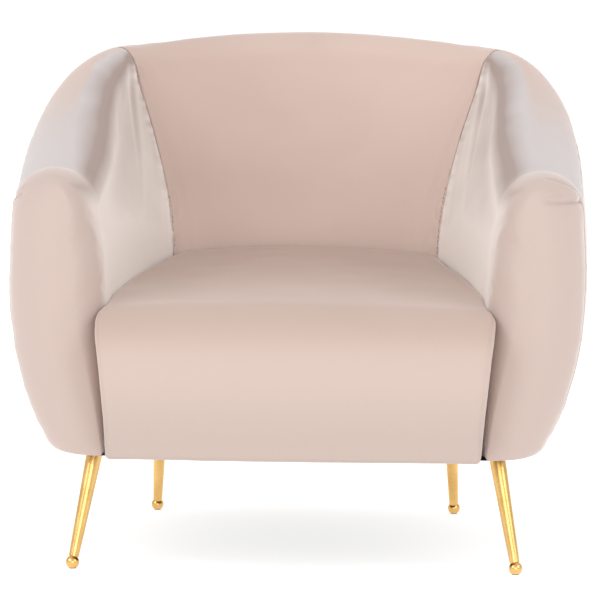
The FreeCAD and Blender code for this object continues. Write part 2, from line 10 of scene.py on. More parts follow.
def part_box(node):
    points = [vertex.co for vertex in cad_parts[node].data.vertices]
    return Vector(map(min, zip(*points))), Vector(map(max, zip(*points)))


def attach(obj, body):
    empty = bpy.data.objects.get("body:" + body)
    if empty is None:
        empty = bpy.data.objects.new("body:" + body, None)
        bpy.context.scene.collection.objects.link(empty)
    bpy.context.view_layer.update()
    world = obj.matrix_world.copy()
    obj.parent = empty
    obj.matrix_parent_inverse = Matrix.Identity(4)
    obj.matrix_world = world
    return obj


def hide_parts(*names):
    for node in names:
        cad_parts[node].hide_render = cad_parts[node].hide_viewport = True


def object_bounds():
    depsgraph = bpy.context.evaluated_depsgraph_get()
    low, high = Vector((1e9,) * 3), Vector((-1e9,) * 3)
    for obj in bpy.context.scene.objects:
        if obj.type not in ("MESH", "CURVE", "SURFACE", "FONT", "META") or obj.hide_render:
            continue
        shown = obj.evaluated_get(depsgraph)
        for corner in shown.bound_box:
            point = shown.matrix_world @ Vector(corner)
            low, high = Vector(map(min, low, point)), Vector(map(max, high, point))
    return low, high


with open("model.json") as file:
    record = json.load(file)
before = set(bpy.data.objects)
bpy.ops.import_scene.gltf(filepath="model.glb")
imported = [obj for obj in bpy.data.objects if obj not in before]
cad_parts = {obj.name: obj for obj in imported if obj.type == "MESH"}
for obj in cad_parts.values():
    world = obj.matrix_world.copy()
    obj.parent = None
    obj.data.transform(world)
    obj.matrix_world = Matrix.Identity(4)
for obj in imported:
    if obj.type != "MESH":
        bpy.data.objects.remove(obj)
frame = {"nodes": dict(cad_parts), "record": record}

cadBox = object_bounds()
low, high = cadBox
print("frame loaded, box", [round(v, 3) for v in (*low, *high)])

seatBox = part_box("seat_cover")
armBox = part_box("inside_arm_cover_right")
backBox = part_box("outside_back_cover")

# camera first: eye height and a long lens, a touch to the right of the middle
cameraView = {
    "turn": 2.0,
    "roll": 0.5,
    "eyeHeight": 0.757,
    "fromFeet": 4.10,
    "lens": 169.0,
    "aim": (0.0062, 0.401),
}


def placeCamera(view):
    feetY = sum(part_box("ball_foot_front_right")[i][1] for i in (0, 1)) / 2
    turn = math.radians(view["turn"])
    far = view["fromFeet"]
    eye = Vector((math.sin(turn) * far, feetY - math.cos(turn) * far, view["eyeHeight"]))
    aim = Vector((view["aim"][0], feetY, view["aim"][1]))
    data = bpy.data.cameras.new("camera")
    data.lens = view["lens"]
    data.sensor_width = 36.0
    data.clip_end = 60.0
    camera = bpy.data.objects.new("camera", data)
    bpy.context.collection.objects.link(camera)
    camera.location = eye
    facing = (aim - eye).to_track_quat("-Z", "Y") @ Quaternion((0, 0, 1), math.radians(view["roll"]))
    camera.rotation_euler = facing.to_euler()
    bpy.context.scene.camera = camera


placeCamera(cameraView)
print("camera placed")

# the horseshoe shell, in metres: outside and inside as seen from above, from the middle of the back
# (0) to where the arm's front starts to round off (1), with the height of the crest at the same places
shellForm = {
    "half": (high[0] - low[0]) / 2 - 0.002,
    "backY": high[1],
    "seatBack": seatBox[1][1] + 0.0015,
    "seatTop": seatBox[1][2],
    "height": high[2],
    "hem": backBox[0][2],
    "armTop": 0.594,
    "noseStart": armBox[0][1] + 0.111,
    "noseLength": 0.118,
    "nosePower": 2.5,
    "noseSlope": 0.03,
    "noseDrop": 0.040,
    "noseShare": 0.30,
    "bellyZ": 0.425,
    "tuck": 0.130,
    "tuckBelow": 0.288,
    "tuckAbove": 0.388,
    "innerHalf": 0.286,
    "innerRearHalf": 0.222,
    "innerTuck": 0.014,
    "innerCurve": 1.6,
    "crestRound": 0.60,
    "hemRound": 0.015,
    "innerHemRound": 0.006,
    "backSeam": 0.43,
    "frontSeamY": -0.272,
    "shoulder": 0.046,
}


def shellPlan(form):
    half, backY, seatBack, noseStart = form["half"], form["backY"], form["seatBack"], form["noseStart"]
    rear, front = form["innerRearHalf"], form["innerHalf"]
    height, fall = form["height"], form["height"] - form["armTop"]
    outside = [(0, backY), (0.31 * half, backY), (0.68 * half, backY - 0.020), (0.945 * half, backY - 0.132),
               (half + 0.008, backY - 0.320), (half + 0.001, noseStart + 0.150), (half - 0.012, noseStart)]
    inside = [(0, seatBack), (0.46 * rear, seatBack + 0.001), (0.85 * rear, seatBack - 0.005),
              (rear, seatBack - 0.056), (0.65 * rear + 0.35 * front, seatBack - 0.155),
              (0.3 * rear + 0.7 * front, noseStart + 0.120), (front, noseStart)]
    crest = [(height, 0.078), (height, 0.078), (height - 0.085 * fall, 0.112), (height - 0.15 * fall, 0.126),
             (height - 0.43 * fall, 0.092), (height - 0.75 * fall, 0.058), (form["armTop"], 0.038)]
    return outside, inside, crest


outsideLine, insideLine, crestLine = shellPlan(shellForm)


def spline(values, u):
    # clamped cubic B-spline
    spans = len(values) - 3
    knots = [0.0] * 4 + [i / spans for i in range(1, spans)] + [1.0] * 4
    k = min(int(u * spans), spans - 1) + 3
    d = [list(values[k - 3 + j]) for j in range(4)]
    for r in range(1, 4):
        for j in range(3, r - 1, -1):
            a = (u - knots[k - 3 + j]) / (knots[k + 1 + j - r] - knots[k - 3 + j])
            d[j] = [(1 - a) * p + a * q for p, q in zip(d[j - 1], d[j])]
    return d[3]


def softStep(x):
    x = min(max(x, 0.0), 1.0)
    return x * x * (3 - 2 * x)


def tipShare(z):
    # where the foremost line of an arm's front is, from its inside to its outside; at the hem it closes on
    # the seat
    return shellForm["noseShare"] * (0.35 + 0.65 * softStep((z - shellForm["hem"]) / 0.26))


class Station:
    # an upright cut through the shell; nose is 0 along the horseshoe and 1 at the tip of the arm
    def __init__(self, u, nose=0.0, side=1):
        form = shellForm
        ox, oy = spline(outsideLine, u)
        ix, iy = spline(insideLine, u)
        self.fullCrest, self.lean = spline(crestLine, u)
        self.round = max(0.0, 1 - nose ** form["nosePower"]) ** (1 / form["nosePower"])
        ahead = form["noseLength"] * nose
        self.crest = self.fullCrest - form["noseSlope"] * ahead - form["noseDrop"] * (1 - self.round)
        self.base = Vector((side * ix, iy - ahead, 0))
        across = Vector((side * (ox - ix), oy - iy, 0))
        self.thick = across.length
        self.across = across.normalized()

    def sides(self, z):
        form = shellForm
        share = max(0.0, (z - form["seatTop"]) / (self.fullCrest - form["seatTop"]))
        tuckIn = form["innerTuck"] * max(0.0, (form["seatTop"] - z) / (form["seatTop"] - form["hem"]))
        inner = self.lean * share ** form["innerCurve"] - tuckIn * abs(self.across.x)
        reach = form["tuckBelow"] if z < form["bellyZ"] else form["tuckAbove"]
        off = min(abs(z - form["bellyZ"]) / reach, 0.999)
        outer = self.thick - form["tuck"] * (1 - math.sqrt(1 - off * off))
        tip = inner + tipShare(z) * (outer - inner)
        return tip + (inner - tip) * self.round, tip + (outer - tip) * self.round

    def at(self, point):
        p = self.base + self.across * point[0]
        return Vector((p.x, p.y, point[1]))


def sectionOf(station):
    # from the inner hem over the crest to the outer hem, closely spaced, with the shoulder's place
    form = shellForm
    hem = form["hem"]
    inner, outer = station.sides(station.crest - 0.045)
    rise = max(0.018, form["crestRound"] * (outer - inner))
    cap = station.crest - rise
    a, b = station.sides(cap)
    bend = form["hemRound"] * max(station.round, 0.15)
    fold = form["innerHemRound"]
    points = [(station.sides(hem + fold)[0] + fold + 0.012, hem)]
    for i in range(9):
        angle = math.pi / 2 * i / 8
        r = station.sides(hem + fold)[0] + fold * (1 - math.sin(angle))
        points.append((r, hem + fold * (1 - math.cos(angle))))
    heights = [hem + fold + (cap - hem - fold) * i / 60 for i in range(1, 61)]
    points += [(station.sides(z)[0], z) for z in heights]
    middle, half = (a + b) / 2, (b - a) / 2
    for i in range(1, 60):
        angle = math.pi * (1 - i / 60)
        points.append((middle + half * math.cos(angle), cap + rise * math.sin(angle)))
    points += [(station.sides(z)[1], z) for z in (cap - (cap - hem - bend) * i / 60 for i in range(0, 61))]
    for i in range(1, 9):
        angle = math.pi / 2 * i / 8
        r = station.sides(hem + bend)[1] - bend * (1 - math.cos(angle))
        points.append((r, hem + bend * (1 - math.sin(angle))))
    points.append((station.sides(hem + bend)[1] - bend - 0.012, hem))
    for _ in range(10):  # softens where the walls meet the crest
        points = points[:1] + [tuple((p[k] + 2 * q[k] + r[k]) / 4 for k in (0, 1))
                               for p, q, r in zip(points, points[1:], points[2:])] + points[-1:]
    half = len(points) // 2
    level = station.crest - form["shoulder"]
    split = next(i for i in range(half, len(points)) if points[i][1] < level)
    return points, split


def resample(points, places):
    # points along a line at the given shares of its length
    lengths = [0.0]
    for p, q in zip(points, points[1:]):
        lengths.append(lengths[-1] + math.dist(p, q))
    total = lengths[-1] or 1.0
    out, k = [], 0
    for place in places:
        target = place * total
        while k < len(points) - 2 and lengths[k + 1] < target:
            k += 1
        span = lengths[k + 1] - lengths[k]
        a = (target - lengths[k]) / span if span > 1e-9 else 0.0
        a = min(max(a, 0.0), 1.0)
        out.append(tuple(points[k][i] + (points[k + 1][i] - points[k][i]) * a for i in (0, 1)))
    return out


def places(length, step, startSeam=True, endSeam=True, fine=(0.0025, 0.006, 0.011, 0.018)):
    # shares of a length: even steps with close ones beside a seam
    marks = [0.0]
    if startSeam:
        marks += list(fine)
    start = marks[-1]
    end = length - (fine[-1] if endSeam else 0.0)
    count = max(2, round((end - start) / step))
    marks += [start + (end - start) * i / count for i in range(1, count + 1)]
    if endSeam:
        marks += [length - f for f in reversed(fine[:-1])] + [length]
    return [m / length for m in marks]


padDetail = {"step": 0.011, "fastStep": 0.016, "thickness": 0.014}
step = padDetail["step"]
crestMarks = (0.0025, 0.006, 0.010, 0.0145, 0.0195, 0.025, 0.031, 0.038)
topMarks = places(1.12, step, startSeam=False, fine=crestMarks)
outMarks = places(0.50, step, endSeam=False)


def shellRows(stations):
    # one row of points for each station: inner hem to shoulder, then shoulder to outer hem
    rows = []
    for s in stations:
        points, split = sectionOf(s)
        top = [s.at(p) for p in resample(points[:split + 1], topMarks)]
        out = [s.at(p) for p in resample(points[split:], outMarks)]
        rows.append((top, out))
    return rows


def noseRows(start, shares, side):
    # the rows of the first station, each point carried forward and in to the middle as the front rounds off
    points, split = sectionOf(start)
    form = shellForm
    flats = [resample(points[:split + 1], topMarks), resample(points[split:], outMarks)]
    tipAt = {}
    rows = []
    for share in shares:
        s = Station(1.0, share, side)
        squeeze = s.round
        drop = start.crest - s.crest
        made = []
        for flat in flats:
            row = []
            for r, z in flat:
                if z not in tipAt:
                    a, b = start.sides(min(z, start.crest - 0.09))
                    tipAt[z] = a + tipShare(z) * (b - a)
                low = min(1.0, max(0.0, (z - form["hem"]) / (start.crest - form["hem"])))
                fall = drop * low ** 2.2
                row.append(s.at((tipAt[z] + (r - tipAt[z]) * squeeze, z - fall)))
            made.append(row)
        rows.append(tuple(made))
    return rows


def uPlaces(start, stop):
    # places along the horseshoe, close together at both ends where seams run
    length = (stop - start) * 0.95
    return [start + (stop - start) * m for m in places(length, step)]


def noseShares():
    # round the front of the arm to its tip, with one place on the outer front seam
    power = shellForm["nosePower"]
    count = 24
    shares = [math.sin(math.pi / 2 * i / count) ** (2 / power) for i in range(1, count + 1)]
    seam = (shellForm["noseStart"] - shellForm["frontSeamY"]) / shellForm["noseLength"]
    near = [seam + d for d in (-0.15, -0.08, -0.035, 0.0, 0.025, 0.07, 0.13)]
    shares = [s for s in shares if s > near[-1] + 0.04] + near + [0.1]
    shares = sorted(shares)
    return shares, shares.index(seam)


def gridMesh(name, quads):
    # quads of points become one mesh with shared corners
    mesh = bpy.data.meshes.new(name)
    bm = bmesh.new()
    for quad in quads:
        if len({tuple(round(v, 5) for v in p) for p in quad}) > 2:
            bm.faces.new([bm.verts.new(p) for p in quad])
    bmesh.ops.remove_doubles(bm, verts=bm.verts, dist=0.0003)
    bmesh.ops.dissolve_degenerate(bm, edges=bm.edges, dist=0.0002)
    bmesh.ops.recalc_face_normals(bm, faces=bm.faces)
    bm.to_mesh(mesh)
    bm.free()
    piece = bpy.data.objects.new(name, mesh)
    bpy.context.collection.objects.link(piece)
    return piece


def stripQuads(rows):
    return [(a[i], b[i], b[i + 1], a[i + 1]) for a, b in zip(rows, rows[1:]) for i in range(len(a) - 1)]


def faceOut(bm, inward):
    # turns the surface so that it faces away from the inside of the padding
    total = 0.0
    for face in bm.faces:
        middle = face.calc_center_median()
        total += (middle - inward(middle)).dot(face.normal) * face.calc_area()
    if total < 0:
        bmesh.ops.reverse_faces(bm, faces=bm.faces)


def padCore(point):
    # the middle of the padding next to a point of the shell
    side = 1 if point.x >= 0 else -1
    flat = Vector((point.x, point.y, 0))
    best = min((Station(u / 24, 0.0, side) for u in range(25)), key=lambda s: abs((flat - s.base).cross(s.across).z))
    a, b = best.sides(min(point.z, best.crest - 0.05))
    core = best.base + best.across * ((a + b) / 2)
    y = max(core.y, shellForm["noseStart"] - 0.04)
    return Vector((core.x, y, min(point.z, best.crest - 0.07)))


def closePad(piece, thickness):
    # gives the panel a back and a rim, so that it is a closed pad
    bm = bmesh.new()
    bm.from_mesh(piece.data)
    faceOut(bm, padCore)
    layer = bm.verts.layers.int.new("back")
    front = list(bm.verts)
    bm.normal_update()
    normals = {v: v.normal.copy() for v in front}
    twin = {}
    for v in front:
        twin[v] = bm.verts.new(v.co - normals[v] * thickness)
        twin[v][layer] = 1
    rims = [e for e in bm.edges if e.is_boundary]
    rims = [(e, e.link_loops[0].vert, e.link_loops[0].link_loop_next.vert) for e in rims]
    for f in list(bm.faces):
        bm.faces.new([twin[v] for v in reversed(f.verts)])
    for e, a, b in rims:
        bm.faces.new([b, a, twin[a], twin[b]])
        for v in (a, b):
            v[layer] = 2
    bm.to_mesh(piece.data)
    bm.free()


clothFeel = {
    "quality": 4,
    "mass": 0.25,
    "tension_stiffness": 25,
    "compression_stiffness": 20,
    "shear_stiffness": 12,
    "bending_stiffness": 1.2,
}


def swell(piece, pressure, cap, frames=20, keep=0.35):
    # lets the padding press the cloth out from inside, held along its seams
    mesh = piece.data
    marks = mesh.attributes["back"].data
    held = piece.vertex_groups.new(name="held")
    held.add([i for i, m in enumerate(marks) if m.value], 1.0, "REPLACE")
    before = [v.co.copy() for v in mesh.vertices]
    cloth = piece.modifiers.new("padding", "CLOTH")
    for key, value in clothFeel.items():
        setattr(cloth.settings, key, value)
    cloth.settings.use_pressure = True
    cloth.settings.uniform_pressure_force = pressure
    cloth.settings.vertex_group_mass = "held"
    cloth.settings.effector_weights.gravity = 0
    cloth.collision_settings.use_collision = False
    cloth.point_cache.frame_start = 1
    cloth.point_cache.frame_end = frames
    scene = bpy.context.scene
    for f in range(1, frames + 1):
        scene.frame_set(f)
    shaped = piece.evaluated_get(bpy.context.evaluated_depsgraph_get())
    after = [v.co.copy() for v in shaped.data.vertices]
    piece.modifiers.remove(cloth)
    piece.vertex_groups.clear()
    scene.frame_set(1)
    biggest = 0.0
    for v, a, b in zip(mesh.vertices, before, after):
        move = (b - a) * keep
        biggest = max(biggest, move.length)
        if move.length > cap:
            move *= cap / move.length
        v.co = a + move
    print("  ", piece.name, "moved up to", round(biggest * 1000, 1), "mm")


def subdivide(piece):
    for other in bpy.context.selected_objects:
        other.select_set(False)
    bpy.context.view_layer.objects.active = piece
    modifier = piece.modifiers.new("smooth", "SUBSURF")
    modifier.levels = 1
    modifier.render_levels = 1
    modifier.boundary_smooth = "PRESERVE_CORNERS"
    bpy.ops.object.modifier_apply(modifier=modifier.name)


def linePoints(rowsOfPoints, spacing=0.002):
    out = []
    for line in rowsOfPoints:
        for a, b in zip(line, line[1:]):
            count = max(1, int((b - a).length / spacing))
            out += [a.lerp(b, i / count) for i in range(count)]
    return out


def treeOf(points):
    tree = KDTree(len(points))
    for i, p in enumerate(points):
        tree.insert(p, i)
    tree.balance()
    return tree


seamLook = {"roll": 0.008, "depth": 0.0042, "pucker": 0.0010, "puckerReach": 0.030, "puckerPitch": 0.021}
puckers = {"often": 1.9, "strong": 1.6, "from": 0.004}
unevenness = {"broad": 0.0012, "broadScale": 7.0, "fine": 0.0005, "fineScale": 19.0, "shift": Vector((3, 1, 7))}


def sewSeams(piece, seams, look=seamLook, extra=None):
    # rolls the panel's edge down into its seams, with small puckers running away from them
    mesh = piece.data
    tree = treeOf(linePoints(seams))
    normals = [v.normal.copy() for v in mesh.vertices]
    for v, normal in zip(mesh.vertices, normals):
        place, index, distance = tree.find(v.co)
        move = 0.0
        if distance < look["roll"]:
            x = 1 - distance / look["roll"]
            move -= look["depth"] * (1 - math.sqrt(max(0.0, 1 - x * x)))
        if distance < look["puckerReach"]:
            wave = noise.noise(Vector(place) / look["puckerPitch"] * puckers["often"])
            fade = (1 - distance / look["puckerReach"]) ** 2 * min(1.0, distance / puckers["from"])
            move += look["pucker"] * wave * fade * puckers["strong"]
        broad = noise.noise(v.co * unevenness["broadScale"] + unevenness["shift"])
        move += unevenness["broad"] * broad + unevenness["fine"] * noise.noise(v.co * unevenness["fineScale"])
        if extra:
            move += extra(v.co)
        v.co = v.co + normal * move
    for face in mesh.polygons:
        face.use_smooth = True
    mesh.update()


# seams of the shell, as lines of points
def seamLines(side):
    form = shellForm
    seamU = form["backSeam"]
    cross = sectionOf(Station(seamU, 0.0, side))[0]
    backSeam = [Station(seamU, 0.0, side).at(p) for p in cross]
    noseSeam = (form["noseStart"] - form["frontSeamY"]) / form["noseLength"]
    shoulder = []
    along = [Station(seamU + (1 - seamU) * i / 30, 0.0, side) for i in range(31)]
    along += [Station(1.0, noseSeam * i / 6, side) for i in range(1, 7)]
    for s in along:
        points, split = sectionOf(s)
        shoulder.append(s.at(points[split]))
    s = Station(1.0, noseSeam, side)
    points, split = sectionOf(s)
    front = [s.at(p) for p in points[split:]]
    return {"back": backSeam, "shoulder": shoulder, "front": front}


seams = {side: seamLines(side) for side in (-1, 1)}
backShoulder = []
for i in range(-20, 21):
    s = Station(shellForm["backSeam"] * abs(i) / 20, 0.0, 1 if i >= 0 else -1)
    points, split = sectionOf(s)
    backShoulder.append(s.at(points[split]))

# the knuckle of each arm: a short dart across the outer corner with folds over it; each place is a share of
# the way round the front, and a height
knuckleFolds = {
    1: [
        {"deep": 0.0042, "wide": 0.0030,
         "places": [(0.36, 0.549), (0.60, 0.549), (0.80, 0.549), (0.92, 0.549), (0.985, 0.550)]},
        {"deep": 0.0030, "wide": 0.0036, "places": [(0.40, 0.566), (0.56, 0.574), (0.66, 0.582), (0.74, 0.588)]},
        {"deep": 0.0020, "wide": 0.0034, "places": [(0.94, 0.556), (0.90, 0.559), (0.84, 0.561), (0.76, 0.560)]},
        {"deep": -0.0028, "wide": 0.0080, "places": [(0.50, 0.560), (0.66, 0.567), (0.76, 0.570)]},
    ],
    -1: [
        {"deep": 0.0034, "wide": 0.0028, "places": [(0.36, 0.546), (0.50, 0.549), (0.64, 0.552), (0.70, 0.553)]},
        {"deep": -0.0014, "wide": 0.0070, "places": [(0.44, 0.558), (0.62, 0.562)]},
    ],
}


def onFront(side, share, z):
    # the place at this height on the outer half of a row round the arm's front
    top, out = noseRows(Station(1.0, 0.0, side), [share], side)[0]
    row = top + out[1:]
    peak = max(range(len(row)), key=lambda i: row[i].z)
    for a, b in zip(row[peak:], row[peak + 1:]):
        if b.z <= z:
            return a.lerp(b, (a.z - min(z, a.z)) / max(a.z - b.z, 1e-6))
    return row[-1]


def foldMove(side):
    folds = []
    for fold in knuckleFolds[side]:
        points = linePoints([[onFront(side, *place) for place in fold["places"]]], 0.001)
        folds.append((treeOf(points), len(points), fold["deep"], fold["wide"]))

    def move(point):
        total = 0.0
        for tree, count, deep, wide in folds:
            place, index, distance = tree.find(point)
            if distance < 3 * wide:
                fade = softStep((1 - index / count) / 0.2)
                total -= deep * math.exp(-(distance / wide) ** 2) * fade
        return total

    return move


def insideBackPad():
    seamU = shellForm["backSeam"]
    stations = [Station(abs(u) * seamU, 0.0, 1 if u >= 0 else -1) for u in
                [m * 2 - 1 for m in places(0.86, step)]]
    rows = [top for top, out in shellRows(stations)]
    return gridMesh("insideBack", stripQuads(rows))


def outsideBackPad():
    seamU = shellForm["backSeam"]
    stations = [Station(abs(u) * seamU, 0.0, 1 if u >= 0 else -1) for u in
                [m * 2 - 1 for m in places(1.0, step)]]
    rows = [out for top, out in shellRows(stations)]
    return gridMesh("outsideBack", stripQuads(rows))


def tipQuads(row):
    # pairs the inside and the outside of the narrow last row by height, from the hem up to the crest
    peak = max(range(len(row)), key=lambda i: row[i].z)
    inner, outer = row[:peak + 1], list(reversed(row[peak:]))
    quads = []
    i = j = 0
    while i < len(inner) - 1 or j < len(outer) - 1:
        nextI = inner[i + 1].z if i < len(inner) - 1 else 9.0
        nextJ = outer[j + 1].z if j < len(outer) - 1 else 9.0
        if i < len(inner) - 1 and (j == len(outer) - 1 or nextI < nextJ):
            quads.append((inner[i], outer[j], inner[i + 1]))
            i += 1
        else:
            quads.append((inner[i], outer[j], outer[j + 1]))
            j += 1
    return quads


def armPads(side):
    names = {1: "Right", -1: "Left"}
    body = [Station(u, 0.0, side) for u in uPlaces(shellForm["backSeam"], 1.0)[:-4]]
    body.append(Station(1.0, 0.0, side))
    shares, seamAt = noseShares()
    rows = shellRows(body) + noseRows(body[-1], shares[:-1], side)
    split = len(body) + seamAt
    quads = stripQuads([top for top, out in rows]) + stripQuads([out for top, out in rows[split:]])
    # the tip: the last row's two halves are joined across
    last = rows[-1][0] + rows[-1][1][1:]
    quads += tipQuads(last)
    inner = gridMesh("insideArm" + names[side], quads)
    outer = gridMesh("outsideArm" + names[side], stripQuads([out for top, out in rows[:split + 1]]))
    return inner, outer


# how hard the padding presses, the most it may move the cloth, and how full the pad counts as
padFill = {"inside": (3.0, 0.006, 0.85), "outside": (1.0, 0.002, 0.95)}


def finishPad(piece, seamList, kind, extra=None):
    pressure, cap, fill = padFill[kind]
    closePad(piece, padDetail["thickness"])
    swell(piece, pressure, cap)
    subdivide(piece)
    sewSeams(piece, seamList, extra=extra)
    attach(piece, "root")


hemLift = {"clear": 0.003, "half": 0.30, "front": -0.30, "keep": 0.1}


def liftHem(piece, lift):
    # the inner hem stands on the base, clear of the cloth that closes the chair from below
    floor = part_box("dust_cover")[1][2] + lift["clear"]
    for vertex in piece.data.vertices:
        place = vertex.co
        if abs(place.x) < lift["half"] and place.y > lift["front"] and place.z < floor:
            vertex.co.z = floor + (place.z - floor) * lift["keep"]


insideBack = insideBackPad()
backSeams = [seams[1]["back"], seams[-1]["back"], backShoulder]
finishPad(insideBack, backSeams, "inside")
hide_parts("inside_back_cover", "back_foam")
print("inside back made")

outsideBack = outsideBackPad()
finishPad(outsideBack, backSeams, "outside")
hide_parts("outside_back_cover", "outside_back_wadding")
print("outside back made")

armPieces = []
for side, word in ((1, "right"), (-1, "left")):
    lines = seams[side]
    innerArm, outerArm = armPads(side)
    around = [lines["back"], lines["shoulder"], lines["front"]]
    finishPad(innerArm, around, "inside", extra=foldMove(side))
    liftHem(innerArm, hemLift)
    finishPad(outerArm, around, "outside")
    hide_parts("inside_arm_cover_" + word, "arm_foam_" + word)
    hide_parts("outside_arm_cover_" + word, "outside_arm_wadding_" + word)
    armPieces += [innerArm, outerArm]
    print(word, "arm made")

# the seat: one thick block, gently crowned, with a soft waterfall front and firm sides that stand a little
# clear of the arms
seatForm = {
    "front": seatBox[0][1],
    "rear": seatBox[1][1],
    "fall": 0.062,
    "frontHalf": 0.297,
    "taper": 0.013,
    "crown": 0.009,
    "bulge": 0.006,
    "sideRound": 0.015,
    "rearRound": 0.020,
    "frontRound": 0.078,
    "hemRound": 0.008,
    "hemSide": 0.005,
    "gap": 0.0015,
    "relief": 0.010,
    "reliefAt": 0.030,
    "reliefReach": 0.075,
    "apronRear": -0.19,
    "under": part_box("seat_felt")[1][2] - 0.004,
}


def insideHalfAt(y):
    if y <= shellForm["noseStart"]:
        return shellForm["innerHalf"]
    lowU, highU = 0.0, 1.0
    for _ in range(30):
        mid = (lowU + highU) / 2
        if spline(insideLine, mid)[1] > y:
            lowU = mid
        else:
            highU = mid
    return spline(insideLine, highU)[0]


def seatHalfAt(y, z):
    form = seatForm
    blend = softStep((shellForm["noseStart"] - 0.048 - y) / 0.064)
    relief = form["relief"] * math.exp(-((y - form["reliefAt"]) / form["reliefReach"]) ** 2)
    half = insideHalfAt(y) - form["gap"] - relief
    half += (form["frontHalf"] - half) * blend
    drop = max(0.0, (shellForm["seatTop"] - z) / (shellForm["seatTop"] - shellForm["hem"]))
    return half - (shellForm["innerTuck"] + form["taper"] * blend) * drop


def seatTopAt(y):
    share = (y - seatForm["front"]) / (seatForm["rear"] - seatForm["front"])
    return shellForm["seatTop"] - seatForm["fall"] * (1 - min(max(share, 0.0), 1.0)) ** 1.3


def seatSpine():
    # the middle line of the seat, from the rear over the top and down the front, with the side rounding there
    form = seatForm
    side, rear, hem = form["sideRound"], form["rearRound"], form["hemRound"]
    spine = []
    for i in range(5):
        angle = math.pi / 2 * i / 5
        y, z = form["rear"] - rear * (1 - math.cos(angle)), seatTopAt(form["rear"]) - rear * (1 - math.sin(angle))
        spine.append((y, z, side))
    top, turn = form["rear"] - rear, form["front"] + form["frontRound"]
    count = 46
    spine += [(y, seatTopAt(y), side) for y in (top + (turn - top) * i / count for i in range(count + 1))]
    zTop = seatTopAt(turn)
    drop = form["frontRound"] * 0.92
    slope = (zTop - seatTopAt(turn - 0.01)) / 0.01 * form["frontRound"]
    for i in range(1, 17):
        angle = math.pi / 2 * i / 16
        z = zTop - drop * (1 - math.cos(angle)) - slope * math.sin(angle) * math.cos(angle) ** 2
        spine.append((turn - form["frontRound"] * math.sin(angle), z, side))
    bottom, thin = shellForm["hem"] + hem, form["hemSide"]
    for i in range(1, 21):
        z = zTop - drop + (bottom - zTop + drop) * i / 20
        spine.append((form["front"], z, side + (thin - side) * softStep((shellForm["hem"] + 0.05 - z) / 0.04)))
    for i in range(1, 5):
        angle = math.pi / 2 * i / 4
        spine.append((form["front"] + hem * (1 - math.cos(angle)), bottom - hem * math.sin(angle), thin))
    return spine


def seatPad():
    # rows across the seat all the way round it, their ends closed by the side faces
    form = seatForm
    spine = seatSpine()
    count = 40
    rows = []
    for k, (y, z, r) in enumerate(spine):
        before, after = spine[max(k - 1, 0)], spine[min(k + 1, len(spine) - 1)]
        slope = Vector((0, after[0] - before[0], after[1] - before[1])).normalized()
        out = Vector((0, slope.z, -slope.y))  # away from the padding
        half = seatHalfAt(y, z)
        up, ahead = max(0.0, out.z), max(0.0, -out.y)
        row = []
        for i in range(count + 1):
            x = (half - r) * (i / count * 2 - 1)
            rise = form["crown"] * ((1 - (x / half) ** 2) * up ** 0.5 - up)
            row.append(Vector((x, y - form["bulge"] * (1 - (x / half) ** 4) * ahead, z + rise)))
        turns = [math.pi / 2 * i / 7 for i in range(1, 8)]
        left = [row[0] + Vector((-r * math.sin(t), 0, 0)) - out * r * (1 - math.cos(t)) for t in turns]
        right = [row[-1] + Vector((r * math.sin(t), 0, 0)) - out * r * (1 - math.cos(t)) for t in turns]
        rows.append(left[::-1] + row + right)
    frontRows = [row for row in rows if row[0].z < seatTopAt(form["front"]) - 0.01]
    lines = [[row[4] for row in frontRows], [row[-5] for row in frontRows]]
    low = shellForm["hem"] + 0.005
    front, turn, rear = form["front"], form["apronRear"], form["rear"]
    under = [(y, low) for y in (front + 0.03, front + 0.07, front + 0.13, turn)]
    under += [(turn + 0.002, form["under"])] + [(turn + (rear - turn) * i / 8, form["under"]) for i in range(1, 9)]
    across = len(rows[0])
    for y, z in under:
        half = seatHalfAt(y, z)
        rows.append([Vector((half * (i / (across - 1) * 2 - 1), y, z)) for i in range(across)])
    quads = stripQuads(rows + rows[:1])
    for end, side in ((0, -1), (-1, 1)):
        rim = [row[end] for row in rows]
        near = treeOf([Vector((0, p.y, p.z)) for p in rim])
        inside = [Vector((y * 0.014, z * 0.014)) for y in range(-28, 14) for z in range(11, 34)]
        inside = [p for p in inside if near.find(Vector((0, p.x, p.y)))[2] > 0.007]
        loop = [(i, (i + 1) % len(rim)) for i in range(len(rim))]
        filled = geometry.delaunay_2d_cdt([Vector((p.y, p.z)) for p in rim] + inside, loop, [], 1, 1e-6)
        points = []
        for p, origin in zip(filled[0], filled[3]):
            ofRim = origin and origin[0] < len(rim)
            points.append(rim[origin[0]] if ofRim else Vector((side * seatHalfAt(p.x, p.y), p.x, p.y)))
        quads += [tuple(points[i] for i in face) for face in filled[2]]
    return quads, lines


seatSeamLook = {"roll": 0.0045, "depth": 0.0020, "pucker": 0.0007, "puckerReach": 0.024, "puckerPitch": 0.021}
seatQuads, seatLines = seatPad()
seatMesh = gridMesh("seat", seatQuads)
subdivide(seatMesh)
sewSeams(seatMesh, seatLines, look=seatSeamLook)
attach(seatMesh, "root")
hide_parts("seat_cover", "seat_foam", "seat_felt")
print("seat made")

# materials


def newMaterial(name):
    material = bpy.data.materials.new(name)
    material.use_nodes = True
    tree = material.node_tree
    tree.nodes.clear()
    output = tree.nodes.new("ShaderNodeOutputMaterial")
    shader = tree.nodes.new("ShaderNodeBsdfPrincipled")
    tree.links.new(shader.outputs["BSDF"], output.inputs["Surface"])
    return material, tree, shader


def addNode(tree, kind, inputs=None, **settings):
    node = tree.nodes.new(kind)
    for key, value in settings.items():
        setattr(node, key, value)
    for key, value in (inputs or {}).items():
        if isinstance(value, bpy.types.NodeSocket):
            tree.links.new(value, node.inputs[key])
        else:
            node.inputs[key].default_value = value
    return node


